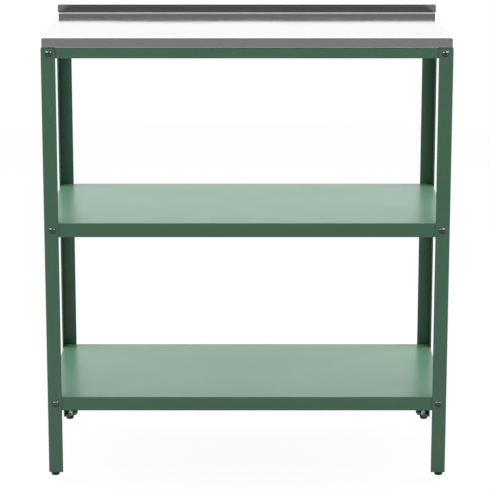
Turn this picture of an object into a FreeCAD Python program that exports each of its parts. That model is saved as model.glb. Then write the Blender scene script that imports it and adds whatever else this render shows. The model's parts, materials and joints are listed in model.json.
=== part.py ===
import FreeCAD, Part

import math
import os

# A free-standing potting bench: a stainless steel worktop with a low upstand at the rear, a welded rail frame
# under it, two folded tray shelves, four angle legs and four screw-adjusted feet.
# Millimetres. The origin is on the floor under the middle of the bench, +X right, +Y to the rear, +Z up.

# Overall, over the outer faces of the legs
WIDTH = 800.0
DEPTH = 400.0
WORKTOP_TOP = 890.0
UPSTAND_RISE = 19.0

# Legs: equal angle folded from sheet
LEG_FLANGE = 28.5
LEG_SHEET = 1.5
LEG_BOTTOM = 8.0
BEND = 2.0  # outer radius of every fold

# Worktop: a tray turned upside down, with a hollow upstand along its rear edge
WORKTOP_SHEET = 1.0
WORKTOP_FOLD = 20.0
WORKTOP_LIP = 14.0
UPSTAND_THICKNESS = 6.0

# Rail frame under the worktop
RAIL_SHEET = 1.5
RAIL_HEIGHT = 20.0
RAIL_LEDGE = 20.0
RAIL_MITRE_GAP = 0.6

# Shelves: trays turned upside down
SHELF_SHEET = 1.0
SHELF_FOLD = 28.5
SHELF_LIP = 8.0
SHELF_TOPS = {"middle": 523.0, "bottom": 166.0}

# Stiffening channel under the worktop and under each shelf
CHANNEL_SHEET = 1.0
CHANNEL_CROWN = 28.0
CHANNEL_DRAFT = 4.0
CHANNEL_HEIGHT = 15.0
CHANNEL_BRIM = 14.0
CHANNEL_END_GAP = 20.0

# M6 flanged button-head screws and nuts that join each leg to the rails and shelves
M6_RADIUS = 3.0
M6_HOLE_RADIUS = 3.25
M6_NUT_BORE_RADIUS = 3.05
M6_NUT_FLATS = 10.0
M6_NUT_HEIGHT = 5.0
M6_NUT_CHAMFER = 0.5
SCREW_LENGTH = 10.0
SCREW_INSET = 16.0
SCREW_FLANGE_RADIUS = 6.8
SCREW_FLANGE_HEIGHT = 0.8
SCREW_DOME_RADIUS = 5.4
SCREW_CROWN_RADIUS = 3.2
SCREW_HEAD_HEIGHT = 3.3
SCREW_DOME_STEPS = 6
SCREW_SOCKET_FLATS = 4.0
SCREW_SOCKET_DEPTH = 2.0
SCREW_TIP_CHAMFER = 0.5

# M4 screws that hold the worktop down to the rails
M4_RADIUS = 2.0
M4_HOLE_RADIUS = 2.25
M4_TAPPED_RADIUS = 2.05
M4_LENGTH = 8.0
M4_HEAD_RADIUS = 3.8
M4_HEAD_HEIGHT = 2.4
M4_HEAD_BEVEL = 0.9
M4_SOCKET_FLATS = 2.5
M4_SOCKET_DEPTH = 1.4
M4_INSET = 8.0
M4_SPACING = 260.0

# Feet: a moulded base that stands still while the threaded stem turns in it
FOOT_INSET = 12.0
FOOT_HEIGHT = 7.7
FOOT_TOP_RADIUS = 9.0
FOOT_SOLE_RADIUS = 8.0
FOOT_SOLE_EDGE = 0.8
FOOT_FLUTES = 12
FOOT_FLUTE_RADIUS = 1.2
FOOT_FLUTE_BITE = 0.45
FOOT_CLEARANCE = 0.3
STEM_DISC_RADIUS = 4.2
STEM_DISC_BOTTOM = 2.8
STEM_DISC_HEIGHT = 2.4
STEM_TOP = 30.0
STEM_SOCKET_FLATS = 3.0
STEM_SOCKET_DEPTH = 4.0
PLATE_THICKNESS = 3.0
PLATE_EDGE_GAP = 1.5
PLATE_CORNER_CUT = 14.0

# Levels and faces that follow
LEG_TOP = WORKTOP_TOP - WORKTOP_FOLD
INNER_X = WIDTH / 2 - LEG_SHEET
INNER_Y = DEPTH / 2 - LEG_SHEET
SCREW_LEVELS = {"top": LEG_TOP - RAIL_HEIGHT / 2}
for shelf_name, shelf_top in SHELF_TOPS.items():
    SCREW_LEVELS[shelf_name] = shelf_top - SHELF_FOLD / 2

X = FreeCAD.Vector(1, 0, 0)
Y = FreeCAD.Vector(0, 1, 0)
Z = FreeCAD.Vector(0, 0, 1)
ORIGIN = FreeCAD.Vector(0, 0, 0)


def vector(x, y, z=0.0):
    return FreeCAD.Vector(x, y, z)


# Solids shared by several pieces

def prism(outline, bottom, top):
    """Upright solid on an outline of (x, y) corners."""
    corners = [vector(x, y, bottom) for x, y in outline]
    return Part.Face(Part.makePolygon(corners + corners[:1])).extrude(Z * (top - bottom))


def hexagon(flats, bottom, top):
    """Upright hexagonal bar, its size measured across the flats."""
    reach = flats / 2 / math.cos(math.pi / 6)
    angles = [math.radians(60 * step) for step in range(6)]
    return prism([(reach * math.cos(a), reach * math.sin(a)) for a in angles], bottom, top)


def cylinder(radius, bottom, top, x=0.0, y=0.0):
    return Part.makeCylinder(radius, top - bottom, vector(x, y, bottom))


def turned(outline):
    """Solid turned about Z from an outline of (radius, height) corners."""
    corners = [vector(radius, 0, height) for radius, height in outline]
    return Part.Face(Part.makePolygon(corners + corners[:1])).revolve(ORIGIN, Z, 360)


def rounded_path(points, radii):
    """Edges through the points, with an arc of the given radius at each inner point."""
    edges = []
    start = points[0]
    for before, corner, after, radius in zip(points, points[1:], points[2:], radii):
        back = (before - corner).normalize()
        ahead = (after - corner).normalize()
        half_angle = back.getAngle(ahead) / 2
        reach = radius / math.tan(half_angle)
        bisector = (back + ahead).normalize()
        middle = corner + bisector * (radius / math.sin(half_angle) - radius)
        edges.append(Part.LineSegment(start, corner + back * reach).toShape())
        edges.append(Part.Arc(corner + back * reach, middle, corner + ahead * reach).toShape())
        start = corner + ahead * reach
    edges.append(Part.LineSegment(start, points[-1]).toShape())
    return edges


def folded_bar(path, sheet, length):
    """Sheet folded along a path of (x, y) points and carried up Z. The sheet lies to the left of the path."""
    points = [vector(x, y) for x, y in path]
    normals = [Z.cross(b - a).normalize() for a, b in zip(points, points[1:])]
    other = [points[0] + normals[0] * sheet]
    for point, before, after in zip(points[1:], normals, normals[1:]):
        other.append(point + (before + after) * (sheet / (1 + before.dot(after))))
    other.append(points[-1] + normals[-1] * sheet)
    left_turns = [before.cross(after).z > 0 for before, after in zip(normals, normals[1:])]
    near_radii = [BEND if left else BEND - sheet for left in left_turns]
    far_radii = [BEND - sheet if left else BEND for left in left_turns]
    edges = rounded_path(points, near_radii)
    edges.append(Part.LineSegment(points[-1], other[-1]).toShape())
    edges += rounded_path(other[::-1], far_radii[::-1])
    edges.append(Part.LineSegment(other[0], points[0]).toShape())
    return Part.Face(Part.Wire(edges)).extrude(Z * length)


def lay_along_x(bar, length):
    """Turns a bar drawn in (x, y) and carried up Z so that it is drawn in (y, z) and centred along X."""
    turn = FreeCAD.Rotation(vector(1, 1, 1), 120)
    return bar.transformed(FreeCAD.Placement(X * (-length / 2), turn).toMatrix())


def at_corner(shape, right, rear):
    """Carries a piece drawn at the front left corner, with that corner as its origin, to one corner."""
    placed = shape.translated(vector(-WIDTH / 2, -DEPTH / 2))
    if right:
        placed = placed.mirror(ORIGIN, X)
    if rear:
        placed = placed.mirror(ORIGIN, Y)
    return placed


def at_every_corner(shape):
    return [at_corner(shape, right, rear) for right in (False, True) for rear in (False, True)]


def screw_hole(radius, inset, level):
    """Drill from front to rear through a corner's front flange, for a piece drawn at the front left corner."""
    return Part.makeCylinder(radius, 2 * LEG_FLANGE, vector(inset, -LEG_FLANGE, level), Y)


def drilled(shape, holes):
    return shape.cut(Part.makeCompound(holes))


# Frame

def leg():
    """One leg at the front left corner: the flanges run along +X and +Y."""
    bar = folded_bar([(0, LEG_FLANGE), (0, 0), (LEG_FLANGE, 0)], LEG_SHEET, LEG_TOP - LEG_BOTTOM)
    holes = [screw_hole(M6_HOLE_RADIUS, SCREW_INSET, level) for level in SCREW_LEVELS.values()]
    return drilled(bar.translated(Z * LEG_BOTTOM), holes)


def rail(face, half_length):
    """Rail with its outer face at -face in Y: an upright and a ledge that carries the worktop, mitred."""
    path = [(-face + RAIL_LEDGE, LEG_TOP), (-face, LEG_TOP), (-face, LEG_TOP - RAIL_HEIGHT)]
    bar = lay_along_x(folded_bar(path, RAIL_SHEET, 2 * half_length), 2 * half_length)
    end = half_length - RAIL_MITRE_GAP
    inner = end - RAIL_LEDGE
    plan = [(-end, -face), (end, -face), (inner, -face + RAIL_LEDGE), (-inner, -face + RAIL_LEDGE)]
    return bar.common(prism(plan, LEG_TOP - RAIL_HEIGHT, LEG_TOP))


def worktop_screw_places():
    """Plan positions of the screws that hold the worktop down."""
    across = [(x, side * (INNER_Y - M4_INSET)) for x in (-M4_SPACING, 0.0, M4_SPACING) for side in (-1, 1)]
    return across + [(side * (INNER_X - M4_INSET), 0.0) for side in (-1, 1)]


def rails():
    holes = at_every_corner(screw_hole(M6_HOLE_RADIUS, SCREW_INSET, SCREW_LEVELS["top"]))
    for x, y in worktop_screw_places():
        holes.append(cylinder(M4_HOLE_RADIUS, LEG_TOP - RAIL_HEIGHT / 2, LEG_TOP + RAIL_SHEET, x, y))
    pieces = {}
    for turn, name in enumerate(("front", "right", "rear", "left")):
        face, half_length = (INNER_Y, INNER_X) if turn % 2 == 0 else (INNER_X, INNER_Y)
        bar = rail(face, half_length).rotated(ORIGIN, Z, 90 * turn)
        pieces["rail_" + name] = drilled(bar, holes)
    return pieces


# Sheet pieces

def rounded_block(half_x, half_y, bottom, top, radius):
    block = Part.makeBox(2 * half_x, 2 * half_y, top - bottom, vector(-half_x, -half_y, bottom))
    return block.makeFillet(radius, block.Edges)


def opening_inside_lip(lip, bottom, sheet):
    """The window left in the underside of a tray between its turned-in lips."""
    half_x = INNER_X - lip
    half_y = INNER_Y - lip
    return Part.makeBox(2 * half_x, 2 * half_y, 2 * sheet, vector(-half_x, -half_y, bottom - sheet / 2))


def shelf(top):
    """Tray turned upside down: folded down on four sides, with a lip turned in underneath."""
    bottom = top - SHELF_FOLD
    outside = rounded_block(INNER_X, INNER_Y, bottom, top, BEND)
    inside = rounded_block(INNER_X - SHELF_SHEET, INNER_Y - SHELF_SHEET, bottom + SHELF_SHEET,
                           top - SHELF_SHEET, BEND - SHELF_SHEET)
    tray = outside.cut(inside).cut(opening_inside_lip(SHELF_LIP, bottom, SHELF_SHEET))
    return drilled(tray, at_every_corner(screw_hole(M6_HOLE_RADIUS, SCREW_INSET, top - SHELF_FOLD / 2)))


def worktop_block(inset, radius):
    """Envelope of the worktop and its upstand, every face moved in by the inset."""
    front = -INNER_Y + inset
    rear = INNER_Y - inset
    step = INNER_Y - UPSTAND_THICKNESS + inset
    bottom = LEG_TOP + inset
    top = WORKTOP_TOP - inset
    crest = WORKTOP_TOP + UPSTAND_RISE - inset
    outline = [(front, bottom), (rear, bottom), (rear, crest), (step, crest), (step, top), (front, top)]
    half_width = INNER_X - inset
    corners = [vector(-half_width, y, z) for y, z in outline]
    block = Part.Face(Part.makePolygon(corners + corners[:1])).extrude(X * (2 * half_width))
    return block.makeFillet(radius, block.Edges)


def worktop():
    """One folded and welded sheet: top, folded front, sides and rear, turned-in lip and hollow upstand."""
    shell = worktop_block(0.0, BEND).cut(worktop_block(WORKTOP_SHEET, BEND - WORKTOP_SHEET))
    shell = shell.cut(opening_inside_lip(WORKTOP_LIP, LEG_TOP, WORKTOP_SHEET))
    holes = [cylinder(M4_TAPPED_RADIUS, LEG_TOP - WORKTOP_SHEET, LEG_TOP + 2 * WORKTOP_SHEET, x, y)
             for x, y in worktop_screw_places()]
    return drilled(shell, holes)


def channel(top, half_length):
    """Hat-shaped stiffener under a sheet whose underside is at top."""
    mouth = CHANNEL_CROWN / 2 + CHANNEL_DRAFT
    crown = CHANNEL_CROWN / 2
    brim = mouth + CHANNEL_BRIM
    level = top - CHANNEL_HEIGHT + CHANNEL_SHEET
    path = [(brim, top), (mouth, top), (crown, level), (-crown, level), (-mouth, top), (-brim, top)]
    return lay_along_x(folded_bar(path, CHANNEL_SHEET, 2 * half_length), 2 * half_length)


# Fasteners, drawn upright with the face that they seat on at z = 0

def socket_screw(head, shank_radius, length, flats, depth):
    """Screw with a turned head above z = 0, a hexagon socket in it and a plain shank below."""
    crown = max(height for radius, height in head)
    blank = turned([(0, 0)] + head + [(0, crown)]).cut(hexagon(flats, crown - depth, crown + 1))
    shank = cylinder(shank_radius, -length, 0)
    tip = min(shank.Edges, key=lambda edge: edge.CenterOfMass.z)
    return blank.fuse(shank.makeChamfer(SCREW_TIP_CHAMFER, [tip])).removeSplitter()


def leg_screw():
    """Flanged button head: a thin washer flange with a domed crown."""
    rise = SCREW_HEAD_HEIGHT - SCREW_FLANGE_HEIGHT
    run = SCREW_DOME_RADIUS - SCREW_CROWN_RADIUS
    dome = []
    for step in range(SCREW_DOME_STEPS + 1):
        angle = math.pi / 2 * step / SCREW_DOME_STEPS
        dome.append((SCREW_CROWN_RADIUS + run * math.cos(angle), SCREW_FLANGE_HEIGHT + rise * math.sin(angle)))
    head = [(SCREW_FLANGE_RADIUS, 0), (SCREW_FLANGE_RADIUS, SCREW_FLANGE_HEIGHT)] + dome
    return socket_screw(head, M6_RADIUS, SCREW_LENGTH, SCREW_SOCKET_FLATS, SCREW_SOCKET_DEPTH)


def hexagon_nut():
    """M6 nut standing on z = 0, its corners chamfered above and below."""
    corner = M6_NUT_FLATS / 2 / math.cos(math.pi / 6)
    barrel = cylinder(corner, 0, M6_NUT_HEIGHT)
    rims = [edge for edge in barrel.Edges if abs(edge.CenterOfMass.x) + abs(edge.CenterOfMass.y) < 1e-6]
    rounded = hexagon(M6_NUT_FLATS, 0, M6_NUT_HEIGHT).common(barrel.makeChamfer(M6_NUT_CHAMFER, rims))
    return rounded.cut(cylinder(M6_NUT_BORE_RADIUS, -1, M6_NUT_HEIGHT + 1))


def facing_front(shape, y, level):
    """Turns an upright fastener so that its top faces the front, at a front left corner's screw position."""
    return shape.rotated(ORIGIN, X, 90).translated(vector(SCREW_INSET, y, level))


def fasteners():
    pieces = {}
    for name, level in SCREW_LEVELS.items():
        grip = LEG_SHEET + (RAIL_SHEET if name == "top" else SHELF_SHEET)
        screws = at_every_corner(facing_front(leg_screw(), 0.0, level))
        nuts = at_every_corner(facing_front(hexagon_nut(), grip + M6_NUT_HEIGHT, level))
        pieces["leg_screws_" + name] = Part.makeCompound(screws)
        pieces["leg_nuts_" + name] = Part.makeCompound(nuts)
    head = [(M4_HEAD_RADIUS, 0), (M4_HEAD_RADIUS, M4_HEAD_HEIGHT / 2),
            (M4_HEAD_RADIUS - M4_HEAD_BEVEL, M4_HEAD_HEIGHT)]
    upright = socket_screw(head, M4_RADIUS, M4_LENGTH, M4_SOCKET_FLATS, M4_SOCKET_DEPTH)
    seat = LEG_TOP - RAIL_SHEET
    from_below = upright.rotated(ORIGIN, X, 180)
    placed = [from_below.translated(vector(x, y, seat)) for x, y in worktop_screw_places()]
    pieces["worktop_screws"] = Part.makeCompound(placed)
    return pieces


# Feet, drawn on the Z axis

def foot_base():
    """Moulded foot with finger flutes, hollow where it holds the disc of the stem."""
    slope = (FOOT_TOP_RADIUS - FOOT_SOLE_RADIUS) / FOOT_HEIGHT
    body = turned([
        (0, 0),
        (FOOT_SOLE_RADIUS - FOOT_SOLE_EDGE, 0),
        (FOOT_SOLE_RADIUS + slope * FOOT_SOLE_EDGE, FOOT_SOLE_EDGE),
        (FOOT_TOP_RADIUS, FOOT_HEIGHT),
        (0, FOOT_HEIGHT),
    ])
    flutes = []
    for step in range(FOOT_FLUTES):
        angle = 2 * math.pi * step / FOOT_FLUTES
        reach = FOOT_TOP_RADIUS + FOOT_FLUTE_RADIUS - FOOT_FLUTE_BITE
        flutes.append(cylinder(FOOT_FLUTE_RADIUS, FOOT_SOLE_EDGE, FOOT_HEIGHT + 1,
                               reach * math.cos(angle), reach * math.sin(angle)))
    disc_top = STEM_DISC_BOTTOM + STEM_DISC_HEIGHT
    socket = cylinder(STEM_DISC_RADIUS + FOOT_CLEARANCE, STEM_DISC_BOTTOM - FOOT_CLEARANCE,
                      disc_top + FOOT_CLEARANCE)
    mouth = cylinder(M6_RADIUS + FOOT_CLEARANCE, disc_top, FOOT_HEIGHT + 1)
    return drilled(body, flutes + [socket, mouth])


def foot_stem():
    """Threaded stem with the disc that turns in the foot and a hexagon socket in its upper end."""
    disc_top = STEM_DISC_BOTTOM + STEM_DISC_HEIGHT
    stem = cylinder(STEM_DISC_RADIUS, STEM_DISC_BOTTOM, disc_top).fuse(cylinder(M6_RADIUS, disc_top, STEM_TOP))
    return stem.cut(hexagon(STEM_SOCKET_FLATS, STEM_TOP - STEM_SOCKET_DEPTH, STEM_TOP + 1)).removeSplitter()


def foot_plate():
    """Plate welded across the lower end of a leg, drawn at the front left corner."""
    near = LEG_SHEET
    far = LEG_FLANGE - PLATE_EDGE_GAP
    inner = near + BEND
    outer = far - PLATE_CORNER_CUT
    outline = [(inner, near), (far, near), (far, outer), (outer, far), (near, far), (near, inner)]
    plate = prism(outline, LEG_BOTTOM, LEG_BOTTOM + PLATE_THICKNESS)
    hole = cylinder(M6_HOLE_RADIUS, LEG_BOTTOM - 1, LEG_BOTTOM + PLATE_THICKNESS + 1, FOOT_INSET, FOOT_INSET)
    return plate.cut(hole)


def foot_pieces():
    inset = vector(FOOT_INSET, FOOT_INSET)
    return {
        "foot_plate": foot_plate(),
        "foot_nut": hexagon_nut().translated(inset + Z * (LEG_BOTTOM + PLATE_THICKNESS)),
        "foot_base": foot_base().translated(inset),
        "foot_stem": foot_stem().translated(inset),
    }


def bench():
    """Every node of the bench by name."""
    nodes = rails()
    nodes["worktop"] = worktop()
    nodes["worktop_channel"] = channel(WORKTOP_TOP - WORKTOP_SHEET, INNER_X - CHANNEL_END_GAP)
    for name, top in SHELF_TOPS.items():
        nodes["shelf_" + name] = shelf(top)
        nodes["shelf_channel_" + name] = channel(top - SHELF_SHEET, INNER_X - CHANNEL_END_GAP)
    nodes.update(fasteners())
    for right, side in ((False, "left"), (True, "right")):
        for rear, end in ((False, "front"), (True, "rear")):
            place = f"_{end}_{side}"
            nodes["leg" + place] = at_corner(leg(), right, rear)
            for name, shape in foot_pieces().items():
                nodes[name + place] = at_corner(shape, right, rear)
    return nodes


os.makedirs("parts", exist_ok=True)
for node, shape in bench().items():
    if not shape.isValid():
        raise RuntimeError("not a valid solid: " + node)
    shape.exportStep(f"parts/{node}.step")
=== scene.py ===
import json
import math

import bmesh
import bpy
from mathutils import Matrix, Vector, noise


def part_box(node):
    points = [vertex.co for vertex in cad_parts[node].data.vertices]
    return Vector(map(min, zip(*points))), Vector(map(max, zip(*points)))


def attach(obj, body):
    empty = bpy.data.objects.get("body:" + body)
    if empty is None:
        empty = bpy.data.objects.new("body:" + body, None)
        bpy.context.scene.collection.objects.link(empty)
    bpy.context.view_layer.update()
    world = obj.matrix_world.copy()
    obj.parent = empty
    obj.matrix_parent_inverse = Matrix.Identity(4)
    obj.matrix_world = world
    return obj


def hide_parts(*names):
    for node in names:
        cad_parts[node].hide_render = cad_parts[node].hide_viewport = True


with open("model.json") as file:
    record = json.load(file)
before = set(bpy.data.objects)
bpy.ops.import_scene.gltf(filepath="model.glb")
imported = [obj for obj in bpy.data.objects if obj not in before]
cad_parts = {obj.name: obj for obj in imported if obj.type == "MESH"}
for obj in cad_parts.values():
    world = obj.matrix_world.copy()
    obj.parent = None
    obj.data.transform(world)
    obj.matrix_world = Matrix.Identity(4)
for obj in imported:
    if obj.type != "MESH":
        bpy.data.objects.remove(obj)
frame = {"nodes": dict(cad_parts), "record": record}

bl_info = {
    "name": "Potting Bench",
    "version": (1, 0, 0),
    "blender": (4, 5, 0),
    "location": "View3D > Sidebar > Potting Bench",
    "description": "Finishes a folded steel potting bench: soft edges, threaded screws and moulded feet",
    "category": "Object",
}

MM = 0.001
CORNERS = ("front_left", "front_right", "rear_left", "rear_right")
LEVELS = ("top", "middle", "bottom")

# Sheet: height of the worktop's upstand, length and seed of the slow waves, how finely a sheet is cut so
# that it can bend, and how far from its edges the waves die out
UPSTAND_RISE = 19 * MM
WORKTOP_WAVE_LENGTH = 160 * MM
WORKTOP_WAVE_SEED = 1.0
WORKTOP_GRID = 12 * MM
SHELF_WAVE_LENGTH = 220 * MM
SHELF_WAVE_SEED = 3.0
SHELF_GRID = 24 * MM
WAVE_FADE = 40 * MM

# Edges: roundings of the small pieces, the angle past which an edge is a cut one and not a facet of a
# fold, the angle that stays crisp in the shading, and what counts as flat or as the same place
FOOT_EDGE = 0.3 * MM
NUT_EDGE = 0.15 * MM
CUT_EDGE_ANGLE = math.radians(50)
CRISP_ANGLE = math.radians(32)
FLAT_ANGLE = math.radians(0.5)
SAME_POINT = 0.002 * MM
SAME_HEIGHT = 0.001 * MM

# Threads: steps round a turned piece, up a domed head and round one turn of a thread, then in shares of
# the pitch the thread's depth, where its flank leaves the root, where its crest starts and ends, and the
# chamfer at its end
TURNING_STEPS = 48
DOME_STEPS = 8
THREAD_STEPS = 32
THREAD_DEPTH = 0.6134
THREAD_FLANK_START = 0.20
THREAD_CREST_START = 0.54
THREAD_CREST_END = 0.66
THREAD_CHAMFER = 0.6
M6_RADIUS = 3.0 * MM
M4_RADIUS = 2.0 * MM
M4_PITCH = 0.7 * MM
NECK_CLEARANCE = 0.1 * MM
SOCKET_CHAMFER = 0.2 * MM

# Leg screws: M6 flanged button heads. Each is turned a little further than the one before it.
LEG_SCREW_LENGTH = 10 * MM
LEG_SCREW_HEAD = 3.3 * MM
LEG_SCREW_FLANGE = 0.8 * MM
LEG_SCREW_FLANGE_RADIUS = 6.8 * MM
LEG_SCREW_FLANGE_EDGE = 0.25 * MM
LEG_SCREW_DOME_RADIUS = 5.8 * MM
LEG_SCREW_CROWN_RADIUS = 2.8 * MM
LEG_SCREW_FLATS = 4.0 * MM
LEG_SCREW_SOCKET = 2.0 * MM
SCREW_TURN = math.radians(17)
ROW_TURN = math.radians(11)

# Worktop screws: small M4 button heads, driven from below
WORKTOP_SCREW_LENGTH = 8 * MM
WORKTOP_SCREW_HEAD = 2.4 * MM
WORKTOP_SCREW_RADIUS = 3.8 * MM
WORKTOP_SCREW_CROWN_RADIUS = 2.0 * MM
WORKTOP_SCREW_RIM = 0.6 * MM
WORKTOP_SCREW_EDGE = 0.2 * MM
WORKTOP_SCREW_FLATS = 2.5 * MM
WORKTOP_SCREW_SOCKET = 1.4 * MM
WORKTOP_SCREW_TURN = math.radians(23)

# Foot stems: the disc at the lower end turns in the moulded foot, the socket is in the upper end
STEM_DISC = 2.4 * MM
STEM_DISC_RADIUS = 4.2 * MM
STEM_DISC_EDGE = 0.3 * MM
STEM_FLATS = 3.0 * MM
STEM_SOCKET = 4.0 * MM

# Stage: size of the floor, how strongly it glows and how much of it the eye sees as that glow
FLOOR_RADIUS = 4.0
FLOOR_STEPS = 96
FLOOR_GLOW = 1.05
FLOOR_GLOW_SHARE = 0.9

# Lights: place and size in metres, power in watts, all aimed at the middle of the bench
LIGHTS_AIM = (0, 0, 0.55)
REAR_LIGHT = ((0, 2.2, 3.0), (3.6, 1.2), 40)
OVERHEAD_LIGHT = ((0, -0.2, 3.2), (2.6, 1.2), 12)
SIDE_LIGHT = ((2.6, 0.4, 1.95), (1.8, 1.6), 110)
FRONT_LIGHT = ((1.3, -1.15, 2.05), (0.65, 0.65), 15)

# Brightness of the room by direction: under the horizon, at it, added above it, and at the rear wall.
# Each pair of bounds says where one changes into the next.
ROOM_BELOW = 0.34
ROOM_LEVEL = 0.11
ROOM_ABOVE = 0.25
ROOM_REAR = 1.22
HORIZON_BOUNDS = (-0.1, 0.03)
CEILING_BOUNDS = (0.08, 0.2)
REAR_WALL_BOUNDS = (-0.2, 0.3)

# Camera: sensor and lens in millimetres, place in metres, dip below the level in radians
CAMERA_SENSOR = 36.0
CAMERA_LENS = 161.6
CAMERA_PLACE = (-0.004, -4.43, 1.457)
CAMERA_DIP = 0.2271


# ---------------------------------------------------------------- colours

def linear(hex_colour):
    """The linear RGBA of an sRGB colour such as 4A6857."""
    channels = [int(hex_colour[i:i + 2], 16) / 255 for i in (0, 2, 4)]
    return [c / 12.92 if c <= 0.04045 else ((c + 0.055) / 1.055) ** 2.4 for c in channels] + [1.0]


def colour_setting(name, description, hex_colour):
    """A colour that a user can change, given as sRGB hex."""
    return bpy.props.FloatVectorProperty(
        name=name, description=description, subtype="COLOR", size=4, min=0.0, max=1.0,
        default=linear(hex_colour))


def length_setting(name, description, millimetres):
    """A length that a user can change, given in millimetres."""
    return bpy.props.FloatProperty(
        name=name, description=description, unit="LENGTH", subtype="DISTANCE", min=0.0, precision=4,
        default=millimetres * MM)


class BenchColours(bpy.types.PropertyGroup):
    powder_coat: colour_setting("Powder coat", "Green of the legs, rails and shelves", "456B55")
    stainless: colour_setting("Stainless steel", "Tint of the worktop sheet", "C9C6C5")
    screw_black: colour_setting("Screw black", "Dark plating of the leg screws", "626466")
    zinc: colour_setting("Zinc plate", "Tint of the nuts, stems and hidden screws", "C3C6C8")
    nylon: colour_setting("Foot nylon", "Black of the moulded feet", "161717")
    floor: colour_setting("Floor", "Pale floor paint", "9A9A99")


class BenchSizes(bpy.types.PropertyGroup):
    edge_rounding: length_setting("Edge rounding", "Radius of a sheared and coated sheet edge", 0.35)
    sheet_wave: length_setting("Sheet wave", "Height of the slow waves in folded sheet", 0.25)
    upstand_lean: length_setting("Upstand lean", "How far the upstand's top leans to the rear", 0.5)
    thread_pitch: length_setting("Thread pitch", "Pitch of the M6 threads", 1.0)


# ---------------------------------------------------------------- materials

def add(tree, kind, settings=None, **links):
    """Adds a node with its settings and feeds the named inputs from other nodes' output sockets."""
    node = tree.nodes.new(kind)
    for name, value in (settings or {}).items():
        if name in node.inputs:
            node.inputs[name].default_value = value
        else:
            setattr(node, name, value)
    for name, socket in links.items():
        tree.links.new(socket, node.inputs[name.replace("_", " ")])
    return node


def new_material(name):
    """An empty node material: its tree, and its Object coordinates."""
    material = bpy.data.materials.new(name)
    material.use_nodes = True
    tree = material.node_tree
    tree.nodes.clear()
    return material, tree, add(tree, "ShaderNodeTexCoord").outputs["Object"]


def finish_material(material, tree, shader):
    """Feeds the shader to the material's output and gives the material back."""
    add(tree, "ShaderNodeOutputMaterial", Surface=shader.outputs["BSDF"])
    return material


def cloudy_plate(name, colour, cloud_width, detail, smoothest, roughest):
    """Plated steel whose gloss changes in small clouds."""
    material, tree, place = new_material(name)
    cloud = add(tree, "ShaderNodeTexNoise", {"Scale": 1 / cloud_width, "Detail": detail}, Vector=place)
    gloss = add(tree, "ShaderNodeMapRange", {"To Min": smoothest, "To Max": roughest},
                Value=cloud.outputs["Fac"])
    shader = add(tree, "ShaderNodeBsdfPrincipled", {"Base Color": list(colour), "Metallic": 1.0},
                 Roughness=gloss.outputs["Result"])
    return finish_material(material, tree, shader)


def powder_coated_steel(colours):
    """Baked polyester powder on steel: satin, with a faint orange peel and slight changes in tone.

    Where two coated sheets meet, ambient occlusion darkens the colour. This is painted shade, and it
    draws a thin dark line there.
    """
    peel_width = 3.0 * MM
    peel_height = 0.2 * MM
    film_change = 90 * MM
    painted_shade_reach = 2.5 * MM
    material, tree, place = new_material("powder_coated_steel")
    peel = add(tree, "ShaderNodeTexNoise", {"Scale": 1 / peel_width, "Detail": 2.0, "Roughness": 0.5},
               Vector=place)
    bump = add(tree, "ShaderNodeBump", {"Strength": 0.12, "Distance": peel_height},
               Height=peel.outputs["Fac"])
    film = add(tree, "ShaderNodeTexNoise", {"Scale": 1 / film_change, "Detail": 3.0}, Vector=place)
    tone = add(tree, "ShaderNodeMapRange", {"To Min": 0.93, "To Max": 1.07}, Value=film.outputs["Fac"])
    shade = add(tree, "ShaderNodeHueSaturation", {"Color": list(colours.powder_coat)},
                Value=tone.outputs["Result"])
    gloss = add(tree, "ShaderNodeMapRange", {"To Min": 0.27, "To Max": 0.37}, Value=film.outputs["Fac"])
    # painted shade: ambient occlusion within a few millimetres darkens the green in joints and corners
    joint = add(tree, "ShaderNodeAmbientOcclusion", {"Distance": painted_shade_reach, "samples": 8})
    painted_shade_factor = add(tree, "ShaderNodeMapRange", {"From Min": 0.45, "From Max": 0.85, "To Min": 0.3},
                   Value=joint.outputs["AO"])
    painted_joint_shade = add(tree, "ShaderNodeVectorMath", {"operation": "SCALE"}, Vector=shade.outputs["Color"],
                Scale=painted_shade_factor.outputs["Result"])
    shader = add(tree, "ShaderNodeBsdfPrincipled", {"IOR": 1.5}, Base_Color=painted_joint_shade.outputs["Vector"],
                 Roughness=gloss.outputs["Result"], Normal=bump.outputs["Normal"])
    return finish_material(material, tree, shader)


def rolled_stainless_steel(colours):
    """Cold-rolled stainless sheet: bright, with rolling lines along the bench and cloudy wipe marks.

    Real rolling lines are about a tenth of a millimetre wide and are drawn 2.5 mm wide so that they show.
    """
    line_length = 150 * MM
    line_width = 2.5 * MM
    line_height = 0.02 * MM
    wipe_width = 70 * MM
    material, tree, place = new_material("rolled_stainless_steel")
    drawn = add(tree, "ShaderNodeMapping", {"Scale": (1 / line_length, 1 / line_width, 1 / line_width)},
                Vector=place)
    lines = add(tree, "ShaderNodeTexNoise", {"Scale": 1.0, "Detail": 2.0}, Vector=drawn.outputs["Vector"])
    bump = add(tree, "ShaderNodeBump", {"Strength": 0.03, "Distance": line_height},
               Height=lines.outputs["Fac"])
    cloud = add(tree, "ShaderNodeTexNoise", {"Scale": 1 / wipe_width, "Detail": 4.0}, Vector=place)
    gloss = add(tree, "ShaderNodeMapRange", {"To Min": 0.07, "To Max": 0.11}, Value=cloud.outputs["Fac"])
    shader = add(tree, "ShaderNodeBsdfPrincipled",
                 {"Base Color": list(colours.stainless), "Metallic": 1.0},
                 Roughness=gloss.outputs["Result"], Normal=bump.outputs["Normal"])
    return finish_material(material, tree, shader)


def black_nickel_plated_steel(colours):
    """Black nickel plate on screw steel: nearly black, with small sharp lights on the domed heads."""
    return cloudy_plate("black_nickel_plated_steel", colours.screw_black, 2 * MM, 2.0, 0.08, 0.16)


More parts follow.
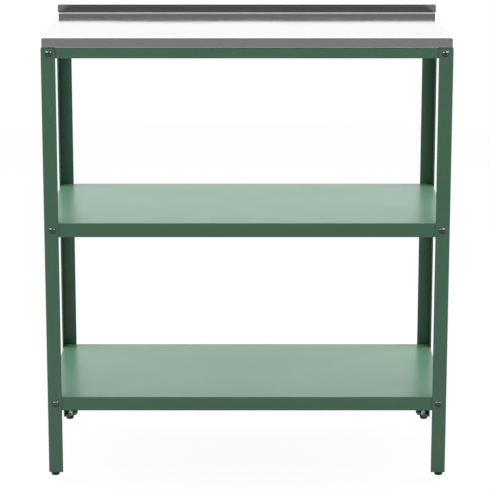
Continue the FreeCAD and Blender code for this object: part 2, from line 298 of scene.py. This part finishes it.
def zinc_plated_steel(colours):
    """Bright zinc plate: silvery, a little cloudy."""
    return cloudy_plate("zinc_plated_steel", colours.zinc, 3 * MM, 3.0, 0.25, 0.42)


def moulded_nylon(colours):
    """Injection-moulded nylon: black, with a fine spark-eroded grain.

    The real grain is under a tenth of a millimetre. It is drawn 0.5 mm wide so that it shows.
    """
    grain_width = 0.5 * MM
    grain_height = 0.05 * MM
    material, tree, place = new_material("moulded_nylon")
    grain = add(tree, "ShaderNodeTexNoise", {"Scale": 1 / grain_width, "Detail": 2.0}, Vector=place)
    bump = add(tree, "ShaderNodeBump", {"Strength": 0.3, "Distance": grain_height},
               Height=grain.outputs["Fac"])
    shader = add(tree, "ShaderNodeBsdfPrincipled",
                 {"Base Color": list(colours.nylon), "IOR": 1.53, "Roughness": 0.45},
                 Normal=bump.outputs["Normal"])
    return finish_material(material, tree, shader)


MATERIALS = {
    "green_powder_coat": powder_coated_steel,
    "stainless_sheet": rolled_stainless_steel,
    "black_screw": black_nickel_plated_steel,
    "zinc_plated_steel": zinc_plated_steel,
    "black_nylon": moulded_nylon,
}
SLOTS = {part["node"]: part["material_slot"] for part in frame["record"]["subparts"]}
BEHAVIOUR = frame["record"]["behaviour"]
BODIES = {node: body for body, nodes in BEHAVIOUR["bodies"].items() for node in nodes}


def material_for(slot, context):
    """The finish of one of the record's material slots, made once."""
    maker = MATERIALS[slot]
    made = bpy.data.materials.get(maker.__name__)
    return made or maker(context.scene.bench_colours)


# ---------------------------------------------------------------- building

def place_piece(bm, name, node, context):
    """Turns a finished bmesh into the piece that stands for a CAD node."""
    mesh = bpy.data.meshes.new(name)
    bm.to_mesh(mesh)
    bm.free()
    mesh.shade_smooth()
    mesh.set_sharp_from_angle(angle=CRISP_ANGLE)
    piece = bpy.data.objects.new(name, mesh)
    context.scene.collection.objects.link(piece)
    even = piece.modifiers.new("even_shading", "WEIGHTED_NORMAL")
    even.keep_sharp = True
    mesh.materials.append(material_for(SLOTS[node], context))
    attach(piece, BODIES[node])
    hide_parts(node)


def merged_copy(node):
    """A copy of a CAD node's mesh with its triangles joined into whole faces."""
    bm = bmesh.new()
    bm.from_mesh(frame["nodes"][node].data)
    bmesh.ops.remove_doubles(bm, verts=bm.verts, dist=SAME_POINT)
    bmesh.ops.dissolve_limit(bm, angle_limit=FLAT_ANGLE, verts=bm.verts, edges=bm.edges)
    return bm


def separate_solids(node):
    """The lowest and highest corners of each separate solid of a CAD node."""
    bm = merged_copy(node)
    left = set(bm.verts)
    boxes = []
    while left:
        found = [left.pop()]
        for vert in found:
            for other in (edge.other_vert(vert) for edge in vert.link_edges):
                if other in left:
                    left.remove(other)
                    found.append(other)
        places = [vert.co.copy() for vert in found]
        boxes.append((Vector(map(min, *places)), Vector(map(max, *places))))
    bm.free()
    return sorted(boxes, key=lambda box: [round(c, 4) for c in box[0]])


def edges_at(bm, height):
    """The edges that lie at a height."""
    return [e for e in bm.edges if all(abs(v.co.z - height) < SAME_HEIGHT for v in e.verts)]


def rim(bm, height):
    """The open edges of faces that lie at a height."""
    return [e for e in edges_at(bm, height) if e.is_boundary]


def loose_edges(bm, height):
    """The edges at a height that no face uses yet."""
    return [e for e in edges_at(bm, height) if not e.link_faces]


def close_rim(bm, height):
    """Closes the open ring at a height with one face."""
    bmesh.ops.holes_fill(bm, edges=rim(bm, height), sides=0)


def draw_line(bm, points):
    """Joins (radius, height) points beside the Z axis into a line, and gives its vertices and edges."""
    verts = [bm.verts.new((radius, 0, height)) for radius, height in points]
    return verts + [bm.edges.new(pair) for pair in zip(verts, verts[1:])]


def turn_outline(bm, outline):
    """Spins an outline of (radius, height) points once round the Z axis."""
    bmesh.ops.spin(bm, geom=draw_line(bm, outline), cent=(0, 0, 0), axis=(0, 0, 1), angle=2 * math.pi,
                   steps=TURNING_STEPS, use_merge=True)


def trim(bm, height, way):
    """Cuts off what lies past a height: above it for way 1, below it for way -1."""
    bmesh.ops.bisect_plane(bm, geom=bm.verts[:] + bm.edges[:] + bm.faces[:], plane_co=(0, 0, height),
                           plane_no=(0, 0, way), clear_outer=True)


def cut_thread(bm, radius, pitch, bottom, top, chamfer_top=False):
    """A right-hand thread on the Z axis: a zigzag line spun once as it climbs a pitch, cut to length.

    It is spun from one and a half turns too low, and made two turns too long, so that both cuts go
    right through it.
    """
    root = radius - THREAD_DEPTH * pitch
    start = bottom - 1.5 * pitch
    turns = math.ceil((top - bottom) / pitch) + 2
    places = []
    for turn in range(turns):
        foot = start + turn * pitch
        places += [(root, foot),
                   (root, foot + pitch * THREAD_FLANK_START),
                   (radius, foot + pitch * THREAD_CREST_START),
                   (radius, foot + pitch * THREAD_CREST_END)]
    places.append((root, start + turns * pitch))
    bmesh.ops.spin(bm, geom=draw_line(bm, places), cent=(0, 0, 0), axis=(0, 0, 1),
                   dvec=(0, 0, pitch / THREAD_STEPS), angle=2 * math.pi, steps=THREAD_STEPS,
                   use_merge=False)
    bmesh.ops.remove_doubles(bm, verts=bm.verts, dist=SAME_POINT)
    trim(bm, top, 1)
    trim(bm, bottom, -1)
    chamfer = THREAD_CHAMFER * pitch
    for vert in bm.verts:
        past = max(bottom + chamfer - vert.co.z, vert.co.z - top + chamfer if chamfer_top else 0.0)
        reach = vert.co.xy.length
        if past > 0 and reach > radius - past:
            vert.co.xy *= (radius - past) / reach


def sink_socket(bm, flats, mouth, depth):
    """Joins the open ring at the mouth to a hexagon just below it and sinks that to a depth."""
    crown = rim(bm, mouth)
    level = mouth - SOCKET_CHAMFER
    bmesh.ops.create_circle(bm, cap_ends=False, segments=6, radius=flats / math.sqrt(3),
                            matrix=Matrix.Translation((0, 0, level)))
    bmesh.ops.subdivide_edges(bm, edges=loose_edges(bm, level), cuts=TURNING_STEPS // 6 - 1)
    hexagon = loose_edges(bm, level)
    bmesh.ops.bridge_loops(bm, edges=crown + hexagon)
    walls = bmesh.ops.extrude_edge_only(bm, edges=hexagon)
    moved = [v for v in walls["geom"] if isinstance(v, bmesh.types.BMVert)]
    bmesh.ops.translate(bm, verts=moved, vec=(0, 0, mouth - depth - level))
    close_rim(bm, mouth - depth)


def dome(foot_radius, foot_height, crown_radius, crown_height):
    """A ball segment about the Z axis, as (radius, height) points from its foot up to its crown."""
    centre = crown_radius ** 2 + crown_height ** 2 - foot_radius ** 2 - foot_height ** 2
    centre /= 2 * (crown_height - foot_height)
    ball = math.hypot(crown_radius, crown_height - centre)
    start = math.atan2(foot_height - centre, foot_radius)
    end = math.atan2(crown_height - centre, crown_radius)
    angles = [start + (end - start) * step / DOME_STEPS for step in range(DOME_STEPS + 1)]
    return [(ball * math.cos(angle), centre + ball * math.sin(angle)) for angle in angles]


def leg_screw(pitch):
    """Flanged button-head screw, its head above z = 0 and its thread below."""
    bm = bmesh.new()
    cut_thread(bm, M6_RADIUS, pitch, -LEG_SCREW_LENGTH, 0.0)
    edge = LEG_SCREW_FLANGE_EDGE
    flange = [(M6_RADIUS + NECK_CLEARANCE, 0.0),
              (LEG_SCREW_FLANGE_RADIUS - edge, 0.0),
              (LEG_SCREW_FLANGE_RADIUS, edge),
              (LEG_SCREW_FLANGE_RADIUS, LEG_SCREW_FLANGE - edge),
              (LEG_SCREW_FLANGE_RADIUS - edge, LEG_SCREW_FLANGE)]
    crown = dome(LEG_SCREW_DOME_RADIUS, LEG_SCREW_FLANGE, LEG_SCREW_CROWN_RADIUS, LEG_SCREW_HEAD)
    turn_outline(bm, flange + crown)
    bmesh.ops.bridge_loops(bm, edges=rim(bm, 0.0))
    close_rim(bm, -LEG_SCREW_LENGTH)
    sink_socket(bm, LEG_SCREW_FLATS, LEG_SCREW_HEAD, LEG_SCREW_SOCKET)
    return bm


def worktop_screw():
    """Small button-head screw that holds the worktop down."""
    bm = bmesh.new()
    cut_thread(bm, M4_RADIUS, M4_PITCH, -WORKTOP_SCREW_LENGTH, 0.0)
    rim_outline = [(M4_RADIUS + NECK_CLEARANCE, 0.0),
                   (WORKTOP_SCREW_RADIUS - WORKTOP_SCREW_EDGE, 0.0),
                   (WORKTOP_SCREW_RADIUS, WORKTOP_SCREW_EDGE)]
    crown = dome(WORKTOP_SCREW_RADIUS, WORKTOP_SCREW_RIM,
                 WORKTOP_SCREW_CROWN_RADIUS, WORKTOP_SCREW_HEAD)
    turn_outline(bm, rim_outline + crown)
    bmesh.ops.bridge_loops(bm, edges=rim(bm, 0.0))
    close_rim(bm, -WORKTOP_SCREW_LENGTH)
    sink_socket(bm, WORKTOP_SCREW_FLATS, WORKTOP_SCREW_HEAD, WORKTOP_SCREW_SOCKET)
    return bm


def foot_stem(pitch, bottom, top):
    """Threaded stem on the Z axis, with a disc that turns in the foot and a socket in its upper end."""
    bm = bmesh.new()
    shoulder = bottom + STEM_DISC
    cut_thread(bm, M6_RADIUS, pitch, shoulder - THREAD_CHAMFER * pitch, top, chamfer_top=True)
    trim(bm, shoulder, -1)
    edge = STEM_DISC_EDGE
    turn_outline(bm, [(STEM_DISC_RADIUS - edge, bottom),
                      (STEM_DISC_RADIUS, bottom + edge),
                      (STEM_DISC_RADIUS, shoulder - edge),
                      (STEM_DISC_RADIUS - edge, shoulder),
                      (M6_RADIUS + NECK_CLEARANCE, shoulder)])
    bmesh.ops.bridge_loops(bm, edges=rim(bm, shoulder))
    close_rim(bm, bottom)
    sink_socket(bm, STEM_FLATS, top, STEM_SOCKET)
    return bm


def gather(parts):
    """Joins (bmesh, matrix) pairs into one bmesh, each part moved by its matrix and facing outwards."""
    whole = bmesh.new()
    for part, place in parts:
        bmesh.ops.recalc_face_normals(part, faces=part.faces)
        bmesh.ops.transform(part, matrix=place, verts=part.verts)
        mesh = bpy.data.meshes.new("part")
        part.to_mesh(mesh)
        part.free()
        whole.from_mesh(mesh)
        bpy.data.meshes.remove(mesh)
    return whole


def soften_edges(bm, radius):
    """Rounds every cut edge and leaves the facets of the folds alone."""
    sharp = [e for e in bm.edges if e.is_manifold and e.calc_face_angle(0.0) > CUT_EDGE_ANGLE]
    bmesh.ops.bevel(bm, geom=sharp, offset=radius, segments=2, profile=0.5, affect="EDGES",
                    material=-1, clamp_overlap=True)


def slice_into_grid(bm, spacing):
    """Cuts the mesh along X and Y so that its broad faces can bend."""
    for normal in (Vector((1, 0, 0)), Vector((0, 1, 0))):
        count = int(max(abs(v.co.dot(normal)) for v in bm.verts) / spacing)
        for step in range(-count, count + 1):
            bmesh.ops.bisect_plane(bm, geom=bm.verts[:] + bm.edges[:] + bm.faces[:],
                                   plane_co=normal * (step * spacing), plane_no=normal)


def ripple(bm, height, length, seed):
    """Moves the sheet up and down in slow waves that die out towards its folded edges."""
    lo = Vector(map(min, *[v.co for v in bm.verts]))
    hi = Vector(map(max, *[v.co for v in bm.verts]))
    for v in bm.verts:
        inset = min(v.co.x - lo.x, hi.x - v.co.x, v.co.y - lo.y, hi.y - v.co.y)
        fade = min(1.0, max(0.0, inset / WAVE_FADE))
        wave = noise.noise(Vector((v.co.x / length, v.co.y / length, seed)))
        v.co.z += height * wave * fade


def lean_back(bm, foot, rise, distance):
    """Leans what stands above a height towards the rear."""
    for v in bm.verts:
        v.co.y += distance * max(0.0, v.co.z - foot) / rise


class BENCH_OT_frame(bpy.types.Operator):
    """Round the edges of the legs, rails, channels and foot plates"""
    bl_idname = "bench.frame"
    bl_label = "Legs, Rails and Channels"

    def execute(self, context):
        nodes = [n for n in SLOTS if n.startswith(("leg_front", "leg_rear", "rail_", "foot_plate_"))]
        nodes += ["worktop_channel", "shelf_channel_middle", "shelf_channel_bottom"]
        for node in nodes:
            bm = merged_copy(node)
            soften_edges(bm, context.scene.bench_sizes.edge_rounding)
            place_piece(bm, "coated_" + node, node, context)
        return {"FINISHED"}


class BENCH_OT_shelves(bpy.types.Operator):
    """Finish the two folded shelves"""
    bl_idname = "bench.shelves"
    bl_label = "Shelves"

    def execute(self, context):
        sizes = context.scene.bench_sizes
        for number, node in enumerate(("shelf_middle", "shelf_bottom")):
            bm = merged_copy(node)
            soften_edges(bm, sizes.edge_rounding)
            slice_into_grid(bm, SHELF_GRID)
            ripple(bm, sizes.sheet_wave, SHELF_WAVE_LENGTH, SHELF_WAVE_SEED + number)
            place_piece(bm, "folded_" + node, node, context)
        return {"FINISHED"}


class BENCH_OT_worktop(bpy.types.Operator):
    """Finish the stainless worktop and its upstand"""
    bl_idname = "bench.worktop"
    bl_label = "Worktop"

    def execute(self, context):
        sizes = context.scene.bench_sizes
        bm = merged_copy("worktop")
        soften_edges(bm, sizes.edge_rounding)
        slice_into_grid(bm, WORKTOP_GRID)
        ripple(bm, sizes.sheet_wave, WORKTOP_WAVE_LENGTH, WORKTOP_WAVE_SEED)
        top = max(v.co.z for v in bm.verts)
        lean_back(bm, top - UPSTAND_RISE, UPSTAND_RISE, sizes.upstand_lean)
        place_piece(bm, "stainless_worktop", "worktop", context)
        return {"FINISHED"}


class BENCH_OT_leg_screws(bpy.types.Operator):
    """Make the threaded screws that hold the rails and shelves to the legs"""
    bl_idname = "bench.leg_screws"
    bl_label = "Leg Screws"

    def execute(self, context):
        for row, level in enumerate(LEVELS):
            node = "leg_screws_" + level
            parts = []
            for number, (low, high) in enumerate(separate_solids(node)):
                front = (low.y + high.y) < 0
                seat = low.y + LEG_SCREW_HEAD if front else high.y - LEG_SCREW_HEAD
                middle = (low + high) / 2
                place = Matrix.Translation((middle.x, seat, middle.z))
                place @= Matrix.Rotation(math.radians(90 if front else -90), 4, "X")
                place @= Matrix.Rotation(SCREW_TURN * number + ROW_TURN * row, 4, "Z")
                parts.append((leg_screw(context.scene.bench_sizes.thread_pitch), place))
            place_piece(gather(parts), "threaded_" + node, node, context)
        return {"FINISHED"}


class BENCH_OT_worktop_screws(bpy.types.Operator):
    """Make the small screws under the rim that hold the worktop down"""
    bl_idname = "bench.worktop_screws"
    bl_label = "Worktop Screws"

    def execute(self, context):
        parts = []
        for number, (low, high) in enumerate(separate_solids("worktop_screws")):
            middle = (low + high) / 2
            place = Matrix.Translation((middle.x, middle.y, low.z + WORKTOP_SCREW_HEAD))
            place @= Matrix.Rotation(math.pi, 4, "X")
            place @= Matrix.Rotation(WORKTOP_SCREW_TURN * number, 4, "Z")
            parts.append((worktop_screw(), place))
        place_piece(gather(parts), "threaded_worktop_screws", "worktop_screws", context)
        return {"FINISHED"}


class BENCH_OT_feet(bpy.types.Operator):
    """Make the threaded stems and finish the moulded feet"""
    bl_idname = "bench.feet"
    bl_label = "Feet"

    def execute(self, context):
        for corner in CORNERS:
            node = "foot_stem_" + corner
            low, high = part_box(node)
            stem = foot_stem(context.scene.bench_sizes.thread_pitch, low.z, high.z)
            place = Matrix.Translation(((low.x + high.x) / 2, (low.y + high.y) / 2, 0))
            place_piece(gather([(stem, place)]), "threaded_" + node, node, context)
            foot = merged_copy("foot_base_" + corner)
            soften_edges(foot, FOOT_EDGE)
            place_piece(foot, "moulded_foot_base_" + corner, "foot_base_" + corner, context)
        return {"FINISHED"}


class BENCH_OT_nuts(bpy.types.Operator):
    """Finish the nuts behind the leg screws and in the feet"""
    bl_idname = "bench.nuts"
    bl_label = "Nuts"

    def execute(self, context):
        nodes = ["leg_nuts_" + level for level in LEVELS] + ["foot_nut_" + corner for corner in CORNERS]
        for node in nodes:
            bm = merged_copy(node)
            soften_edges(bm, NUT_EDGE)
            place_piece(bm, "plated_" + node, node, context)
        return {"FINISHED"}


class BENCH_OT_plain_finish(bpy.types.Operator):
    """Give every CAD node that is still shown its real finish"""
    bl_idname = "bench.plain_finish"
    bl_label = "Finishes"

    def execute(self, context):
        for node, slot in SLOTS.items():
            mesh = frame["nodes"][node].data
            mesh.materials.clear()
            mesh.materials.append(material_for(slot, context))
        return {"FINISHED"}


# ---------------------------------------------------------------- stage

class BENCH_OT_stage(bpy.types.Operator):
    """Make the floor, the lights, the surroundings and the camera"""
    bl_idname = "bench.stage"
    bl_label = "Stage"

    def execute(self, context):
        make_floor(context)
        make_lights(context)
        make_surroundings(context)
        make_camera(context)
        context.scene.view_settings.view_transform = "Standard"
        return {"FINISHED"}


def make_floor(context):
    """A floor just below the feet when they are screwed right out, so that it never hides them."""
    travels = [joint["range_m"][1] for joint in BEHAVIOUR["joints"] if "range_m" in joint]
    bm = bmesh.new()
    bmesh.ops.create_circle(bm, cap_ends=True, segments=FLOOR_STEPS, radius=FLOOR_RADIUS,
                            matrix=Matrix.Translation((0, 0, -max(travels))))
    mesh = bpy.data.meshes.new("floor")
    bm.to_mesh(mesh)
    bm.free()
    floor = bpy.data.objects.new("floor", mesh)
    context.scene.collection.objects.link(floor)
    mesh.materials.append(matt_floor_paint(context.scene.bench_colours))


def matt_floor_paint(colours):
    """Matt pale paint that looks white to the eye and takes only a faint shadow."""
    material, tree, _ = new_material("matt_floor_paint")
    paint = add(tree, "ShaderNodeBsdfPrincipled", {"Base Color": list(colours.floor), "Roughness": 0.9})
    glow = add(tree, "ShaderNodeEmission", {"Strength": FLOOR_GLOW})
    straight = add(tree, "ShaderNodeLightPath").outputs["Is Camera Ray"]
    share = add(tree, "ShaderNodeMapRange", {"To Max": FLOOR_GLOW_SHARE}, Value=straight)
    mix = add(tree, "ShaderNodeMixShader", Fac=share.outputs["Result"])
    tree.links.new(paint.outputs["BSDF"], mix.inputs[1])
    tree.links.new(glow.outputs["Emission"], mix.inputs[2])
    add(tree, "ShaderNodeOutputMaterial", Surface=mix.outputs["Shader"])
    return material


def area_light(context, name, settings, side=1):
    """A soft rectangular light with a place, size and power; side -1 puts it on the left."""
    (x, y, z), (width, height), power = settings
    data = bpy.data.lights.new(name, "AREA")
    data.shape = "RECTANGLE"
    data.size = width
    data.size_y = height
    data.energy = power
    light = bpy.data.objects.new(name, data)
    light.location = (side * x, y, z)
    light.rotation_euler = (Vector(LIGHTS_AIM) - light.location).to_track_quat("-Z", "Y").to_euler()
    light.visible_camera = False
    context.scene.collection.objects.link(light)


def make_lights(context):
    """Wide lights behind, overhead and at each side, and a small one high beside each front corner."""
    area_light(context, "rear", REAR_LIGHT)
    area_light(context, "overhead", OVERHEAD_LIGHT)
    for name, side in (("left", -1), ("right", 1)):
        area_light(context, name, SIDE_LIGHT, side)
        area_light(context, "front_" + name, FRONT_LIGHT, side)


def make_surroundings(context):
    """White all round to the eye, and to the light a bright wall at the rear and a dim room in front."""
    world = bpy.data.worlds.new("studio")
    context.scene.world = world
    world.use_nodes = True
    tree = world.node_tree
    tree.nodes.clear()
    direction = add(tree, "ShaderNodeTexCoord").outputs["Generated"]
    way = add(tree, "ShaderNodeSeparateXYZ", Vector=direction)
    low, high = HORIZON_BOUNDS
    below = add(tree, "ShaderNodeMapRange",
                {"From Min": low, "From Max": high, "To Min": ROOM_BELOW, "To Max": ROOM_LEVEL},
                Value=way.outputs["Z"])
    low, high = CEILING_BOUNDS
    above = add(tree, "ShaderNodeMapRange", {"From Min": low, "From Max": high, "To Max": ROOM_ABOVE},
                Value=way.outputs["Z"])
    front = add(tree, "ShaderNodeMath", {"operation": "ADD"})
    tree.links.new(below.outputs["Result"], front.inputs[0])
    tree.links.new(above.outputs["Result"], front.inputs[1])
    low, high = REAR_WALL_BOUNDS
    rear = add(tree, "ShaderNodeMapRange", {"From Min": low, "From Max": high, "To Max": ROOM_REAR},
               Value=way.outputs["Y"], To_Min=front.outputs["Value"])
    room = add(tree, "ShaderNodeBackground", {"Color": (1, 1, 1, 1)}, Strength=rear.outputs["Result"])
    seen = add(tree, "ShaderNodeBackground", {"Color": (1, 1, 1, 1), "Strength": 1.0})
    straight = add(tree, "ShaderNodeLightPath").outputs["Is Camera Ray"]
    mix = add(tree, "ShaderNodeMixShader", Fac=straight)
    tree.links.new(room.outputs["Background"], mix.inputs[1])
    tree.links.new(seen.outputs["Background"], mix.inputs[2])
    add(tree, "ShaderNodeOutputWorld", Surface=mix.outputs["Shader"])


def make_camera(context):
    """Straight in front of the bench, higher than the worktop, looking down on it."""
    data = bpy.data.cameras.new("camera")
    data.sensor_width = CAMERA_SENSOR
    data.lens = CAMERA_LENS
    camera = bpy.data.objects.new("camera", data)
    camera.location = CAMERA_PLACE
    camera.rotation_euler = (math.pi / 2 - CAMERA_DIP, 0, 0)
    context.scene.collection.objects.link(camera)
    context.scene.camera = camera


OPERATORS = (
    BENCH_OT_plain_finish,
    BENCH_OT_frame,
    BENCH_OT_shelves,
    BENCH_OT_worktop,
    BENCH_OT_leg_screws,
    BENCH_OT_worktop_screws,
    BENCH_OT_nuts,
    BENCH_OT_feet,
    BENCH_OT_stage,
)


class BENCH_PT_sidebar(bpy.types.Panel):
    """Lists the steps that finish the bench"""
    bl_idname = "BENCH_PT_sidebar"
    bl_label = "Potting Bench"
    bl_space_type = "VIEW_3D"
    bl_region_type = "UI"
    bl_category = "Potting Bench"

    def draw(self, context):
        for group in (context.scene.bench_colours, context.scene.bench_sizes):
            for name in group.bl_rna.properties.keys():
                if name not in ("rna_type", "name"):
                    self.layout.prop(group, name)
        for operator in OPERATORS:
            self.layout.operator(operator.bl_idname)


CLASSES = (BenchColours, BenchSizes) + OPERATORS + (BENCH_PT_sidebar,)


def register():
    for cls in CLASSES:
        bpy.utils.register_class(cls)
    bpy.types.Scene.bench_colours = bpy.props.PointerProperty(type=BenchColours)
    bpy.types.Scene.bench_sizes = bpy.props.PointerProperty(type=BenchSizes)


def unregister():
    del bpy.types.Scene.bench_sizes
    del bpy.types.Scene.bench_colours
    for cls in reversed(CLASSES):
        bpy.utils.unregister_class(cls)


def main():
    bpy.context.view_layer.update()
    register()
    bpy.ops.bench.plain_finish()
    bpy.ops.bench.frame()
    bpy.ops.bench.shelves()
    bpy.ops.bench.worktop()
    bpy.ops.bench.leg_screws()
    bpy.ops.bench.worktop_screws()
    bpy.ops.bench.nuts()
    bpy.ops.bench.feet()
    bpy.ops.bench.stage()


if __name__ == "__main__":
    main()
